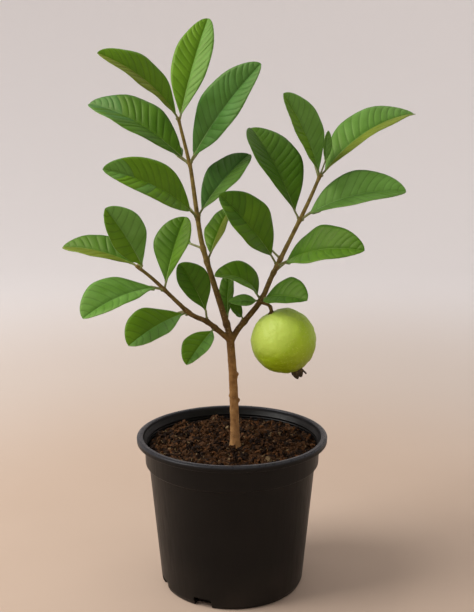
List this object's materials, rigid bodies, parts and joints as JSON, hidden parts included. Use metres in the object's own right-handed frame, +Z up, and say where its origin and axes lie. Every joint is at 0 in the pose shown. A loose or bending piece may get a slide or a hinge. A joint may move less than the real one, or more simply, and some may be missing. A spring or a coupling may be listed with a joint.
{
  "type": "potted guava tree",
  "caption": "Young guava tree with paired veined leaves and a ripe green fruit, standing in a round black nursery pot of potting mix.",
  "frame": {"origin": "middle of the pot's flat underside, on the floor the pot stands on", "axes": "+Z up along the pot's axis, -Y towards the front of the tree, +X to the right seen from the front"},
  "size_m": [0.3617, 0.2167, 0.588],
  "materials": {
    "pot_plastic": "satin moulded black",
    "potting_mix": "rough dark crumbs",
    "trunk_bark": "rough tan-brown bark",
    "bough_bark": "smooth reddish-brown young bark",
    "leaf_green": "soft satin green",
    "fruit_skin": "waxy yellow-green"
  },
  "bodies": {
    "root": {"pot": "pot_plastic", "potting_mix": "potting_mix", "trunk": "trunk_bark", "leader_bough": "bough_bark", "left_bough": "bough_bark", "right_bough": "bough_bark", "top_foliage": "leaf_green", "left_foliage": "leaf_green", "right_foliage": "leaf_green", "leader_leaf_back": "leaf_green", "leader_leaf_low": "leaf_green", "leader_leaf_middle": "leaf_green", "left_leaf_back": "leaf_green", "left_leaf_low": "leaf_green", "left_leaf_middle": "leaf_green", "left_leaf_upper": "leaf_green", "right_leaf_arched": "leaf_green", "right_leaf_back": "leaf_green", "right_leaf_inner": "leaf_green", "right_leaf_low": "leaf_green", "right_leaf_outer": "leaf_green", "right_leaf_rear": "leaf_green", "right_leaf_tall": "leaf_green", "right_leaf_wide": "leaf_green", "guava_fruit": "fruit_skin"}
  },
  "joints": []
}
